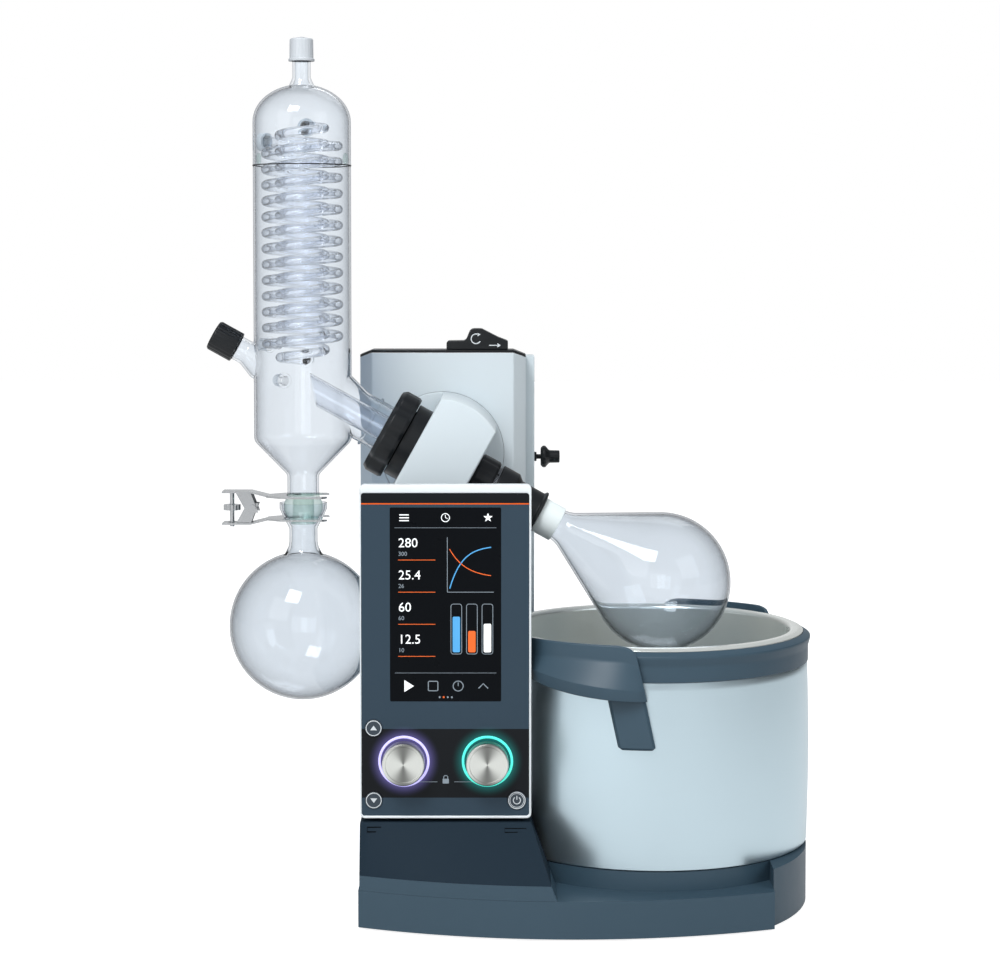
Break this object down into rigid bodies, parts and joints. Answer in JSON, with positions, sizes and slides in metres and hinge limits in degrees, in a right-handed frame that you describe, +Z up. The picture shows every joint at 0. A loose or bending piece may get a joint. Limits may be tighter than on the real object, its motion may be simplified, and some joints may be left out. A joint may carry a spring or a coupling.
{
  "type": "rotary evaporator",
  "caption": "Bench-top rotary evaporator with a motor lift, tilting drive head, upright double-coil condenser, glass flasks, touch panel and a lift-off heating bath.",
  "frame": {"origin": "bottom centre of the object's box, on the bench", "axes": "+Z up, +X to the right seen from the control panel, -Y towards the user"},
  "size_m": [0.5328, 0.3357, 0.7545],
  "materials": {
    "slate_plastic": "satin moulded",
    "light_paint": "satin powder coat",
    "white_plastic": "gloss",
    "dark_pane": "gloss",
    "screen": "gloss",
    "black_plastic": "satin moulded",
    "brushed_aluminium": "turned face",
    "bath_silver": "satin paint",
    "steel": "polished inside",
    "clamp_steel": "nickel plated",
    "clear_glass": "clear",
    "grey_cap": "satin moulded",
    "white_sleeve": "satin moulded",
    "light_ring": "lit from behind",
    "circuit_board": "matt",
    "rubber": "matt",
    "seal_white": "matt",
    "bare_steel": "plain"
  },
  "bodies": {
    "base": {"base_housing": "slate_plastic", "bottom_plate": "bare_steel", "feet": "rubber", "front_cover": "slate_plastic", "panel_back_shell": "slate_plastic", "panel_frame": "white_plastic", "panel_pane": "dark_pane", "display": "screen", "control_board": "circuit_board", "light_rings": "light_ring", "mains_inlet": "black_plastic", "bath_socket": "black_plastic", "lift_mast": "bare_steel", "lift_motor": "black_plastic"},
    "mains_rocker": {"mains_switch": "black_plastic"},
    "left_knob_push": {"left_knob_shaft": "bare_steel"},
    "left_knob_turn": {"left_knob": "brushed_aluminium"},
    "right_knob_push": {"right_knob_shaft": "bare_steel"},
    "right_knob_turn": {"right_knob": "brushed_aluminium"},
    "up_key": {"up_button": "dark_pane"},
    "down_key": {"down_button": "dark_pane"},
    "power_key": {"power_button": "dark_pane"},
    "spindle": {"lift_spindle": "bare_steel"},
    "lift": {"lift_carriage": "brushed_aluminium", "guide_pads": "seal_white", "tower_shell": "light_paint", "tower_cap": "black_plastic", "tower_back": "light_paint", "tilt_ring": "bare_steel"},
    "tilt_release": {"release_slider": "black_plastic"},
    "depth_stop": {"stop_knob": "black_plastic"},
    "head": {"head_housing": "light_paint", "drive_motor": "black_plastic", "drive_belt": "rubber", "bearings": "bare_steel", "vacuum_seal": "seal_white", "thread_ring": "black_plastic", "condenser": "clear_glass", "outer_coil": "clear_glass", "inner_coil": "clear_glass", "port_caps": "grey_cap", "receiving_flask": "clear_glass", "clamp_upper_jaw": "clamp_steel"},
    "union": {"union_nut": "black_plastic"},
    "motor_rotor": {"motor_pulley": "brushed_aluminium"},
    "rotor": {"hollow_shaft": "steel", "vapour_duct": "clear_glass", "flask_clip": "black_plastic", "flask_sleeve": "white_sleeve", "evaporating_flask": "clear_glass"},
    "push_off": {"push_off_nut": "black_plastic"},
    "filler_cap": {"top_cap": "grey_cap"},
    "feed_cap": {"side_port_cap": "black_plastic"},
    "clamp_jaw": {"clamp_lower_jaw": "clamp_steel"},
    "clamp_lock": {"clamp_nut": "clamp_steel"},
    "bath": {"bath_casing": "bath_silver", "bath_band": "slate_plastic", "bath_vessel": "steel", "bath_heater": "bare_steel", "bath_handles": "slate_plastic"}
  },
  "joints": [
    {"name": "lift_height", "type": "slide", "parent": "base", "child": "lift", "axis": [0, 0, 1], "range_m": [-0.06, 0.09]},
    {"name": "spindle_turn", "type": "hinge", "parent": "base", "child": "spindle", "pos_m": [-0.0595, 0.123, 0.2], "axis": [0, 0, 1], "continuous": true},
    {"name": "head_tilt", "type": "hinge", "parent": "lift", "child": "head", "pos_m": [-0.0595, 0, 0.3828], "axis": [0, -1, 0], "range_deg": [-5, 15]},
    {"name": "tilt_unlock", "type": "slide", "parent": "lift", "child": "tilt_release", "axis": [1, 0, 0], "range_m": [0, 0.01]},
    {"name": "stop_turn", "type": "hinge", "parent": "lift", "child": "depth_stop", "pos_m": [0.037, 0.14, 0.3744], "axis": [1, 0, 0], "continuous": true},
    {"name": "flask_spin", "type": "hinge", "parent": "head", "child": "rotor", "pos_m": [-0.0595, 0, 0.3828], "axis": [0.8746, 0, -0.4848], "continuous": true},
    {"name": "motor_spin", "type": "hinge", "parent": "head", "child": "motor_rotor", "pos_m": [-0.0595, 0.047, 0.3828], "axis": [0.8746, 0, -0.4848], "continuous": true},
    {"name": "push_off_turn", "type": "hinge", "parent": "rotor", "child": "push_off", "pos_m": [-0.02452, 0, 0.36341], "axis": [0.8746, 0, -0.4848], "range_deg": [-180, 180]},
    {"name": "union_turn", "type": "hinge", "parent": "head", "child": "union", "pos_m": [-0.10148, 0, 0.40607], "axis": [0.8746, 0, -0.4848], "continuous": true},
    {"name": "feed_cap_turn", "type": "hinge", "parent": "head", "child": "feed_cap", "pos_m": [-0.24842, 0, 0.48752], "axis": [0.8746, 0, -0.4848], "continuous": true},
    {"name": "filler_cap_turn", "type": "hinge", "parent": "head", "child": "filler_cap", "pos_m": [-0.1809, 0, 0.744], "axis": [0, 0, 1], "continuous": true},
    {"name": "clamp_open", "type": "hinge", "parent": "head", "child": "clamp_jaw", "pos_m": [-0.2249, 0, 0.341], "axis": [0, 1, 0], "range_deg": [0, 5]},
    {"name": "clamp_nut_turn", "type": "hinge", "parent": "head", "child": "clamp_lock", "pos_m": [-0.2439, 0, 0.341], "axis": [0, 0, 1], "continuous": true},
    {"name": "bath_lift_off", "type": "slide", "parent": "base", "child": "bath", "axis": [0, 0, 1], "range_m": [0, 0.012]},
    {"name": "left_knob_press", "type": "slide", "parent": "base", "child": "left_knob_push", "axis": [0, 1, 0], "range_m": [0, 0.001], "stiffness_N_per_m": 900},
    {"name": "left_knob_turn_axis", "type": "hinge", "parent": "left_knob_push", "child": "left_knob_turn", "pos_m": [-0.0875, -0.129, 0.1395], "axis": [0, 1, 0], "continuous": true},
    {"name": "right_knob_press", "type": "slide", "parent": "base", "child": "right_knob_push", "axis": [0, 1, 0], "range_m": [0, 0.001], "stiffness_N_per_m": 900},
    {"name": "right_knob_turn_axis", "type": "hinge", "parent": "right_knob_push", "child": "right_knob_turn", "pos_m": [-0.0175, -0.129, 0.1395], "axis": [0, 1, 0], "continuous": true},
    {"name": "mains_rock", "type": "hinge", "parent": "base", "child": "mains_rocker", "pos_m": [-0.004, 0.16, 0.026], "axis": [-1, 0, 0], "range_deg": [0, 12]},
    {"name": "up_press", "type": "slide", "parent": "base", "child": "up_key", "axis": [0, 1, 0], "range_m": [0, 0.0008], "stiffness_N_per_m": 700},
    {"name": "down_press", "type": "slide", "parent": "base", "child": "down_key", "axis": [0, 1, 0], "range_m": [0, 0.0008], "stiffness_N_per_m": 700},
    {"name": "power_press", "type": "slide", "parent": "base", "child": "power_key", "axis": [0, 1, 0], "range_m": [0, 0.0008], "stiffness_N_per_m": 700}
  ],
  "couplings": [
    {"joint": "spindle_turn", "follows": "lift_height", "rad_per_m": -1256.6},
    {"joint": "motor_spin", "follows": "flask_spin", "ratio": 2.4}
  ]
}
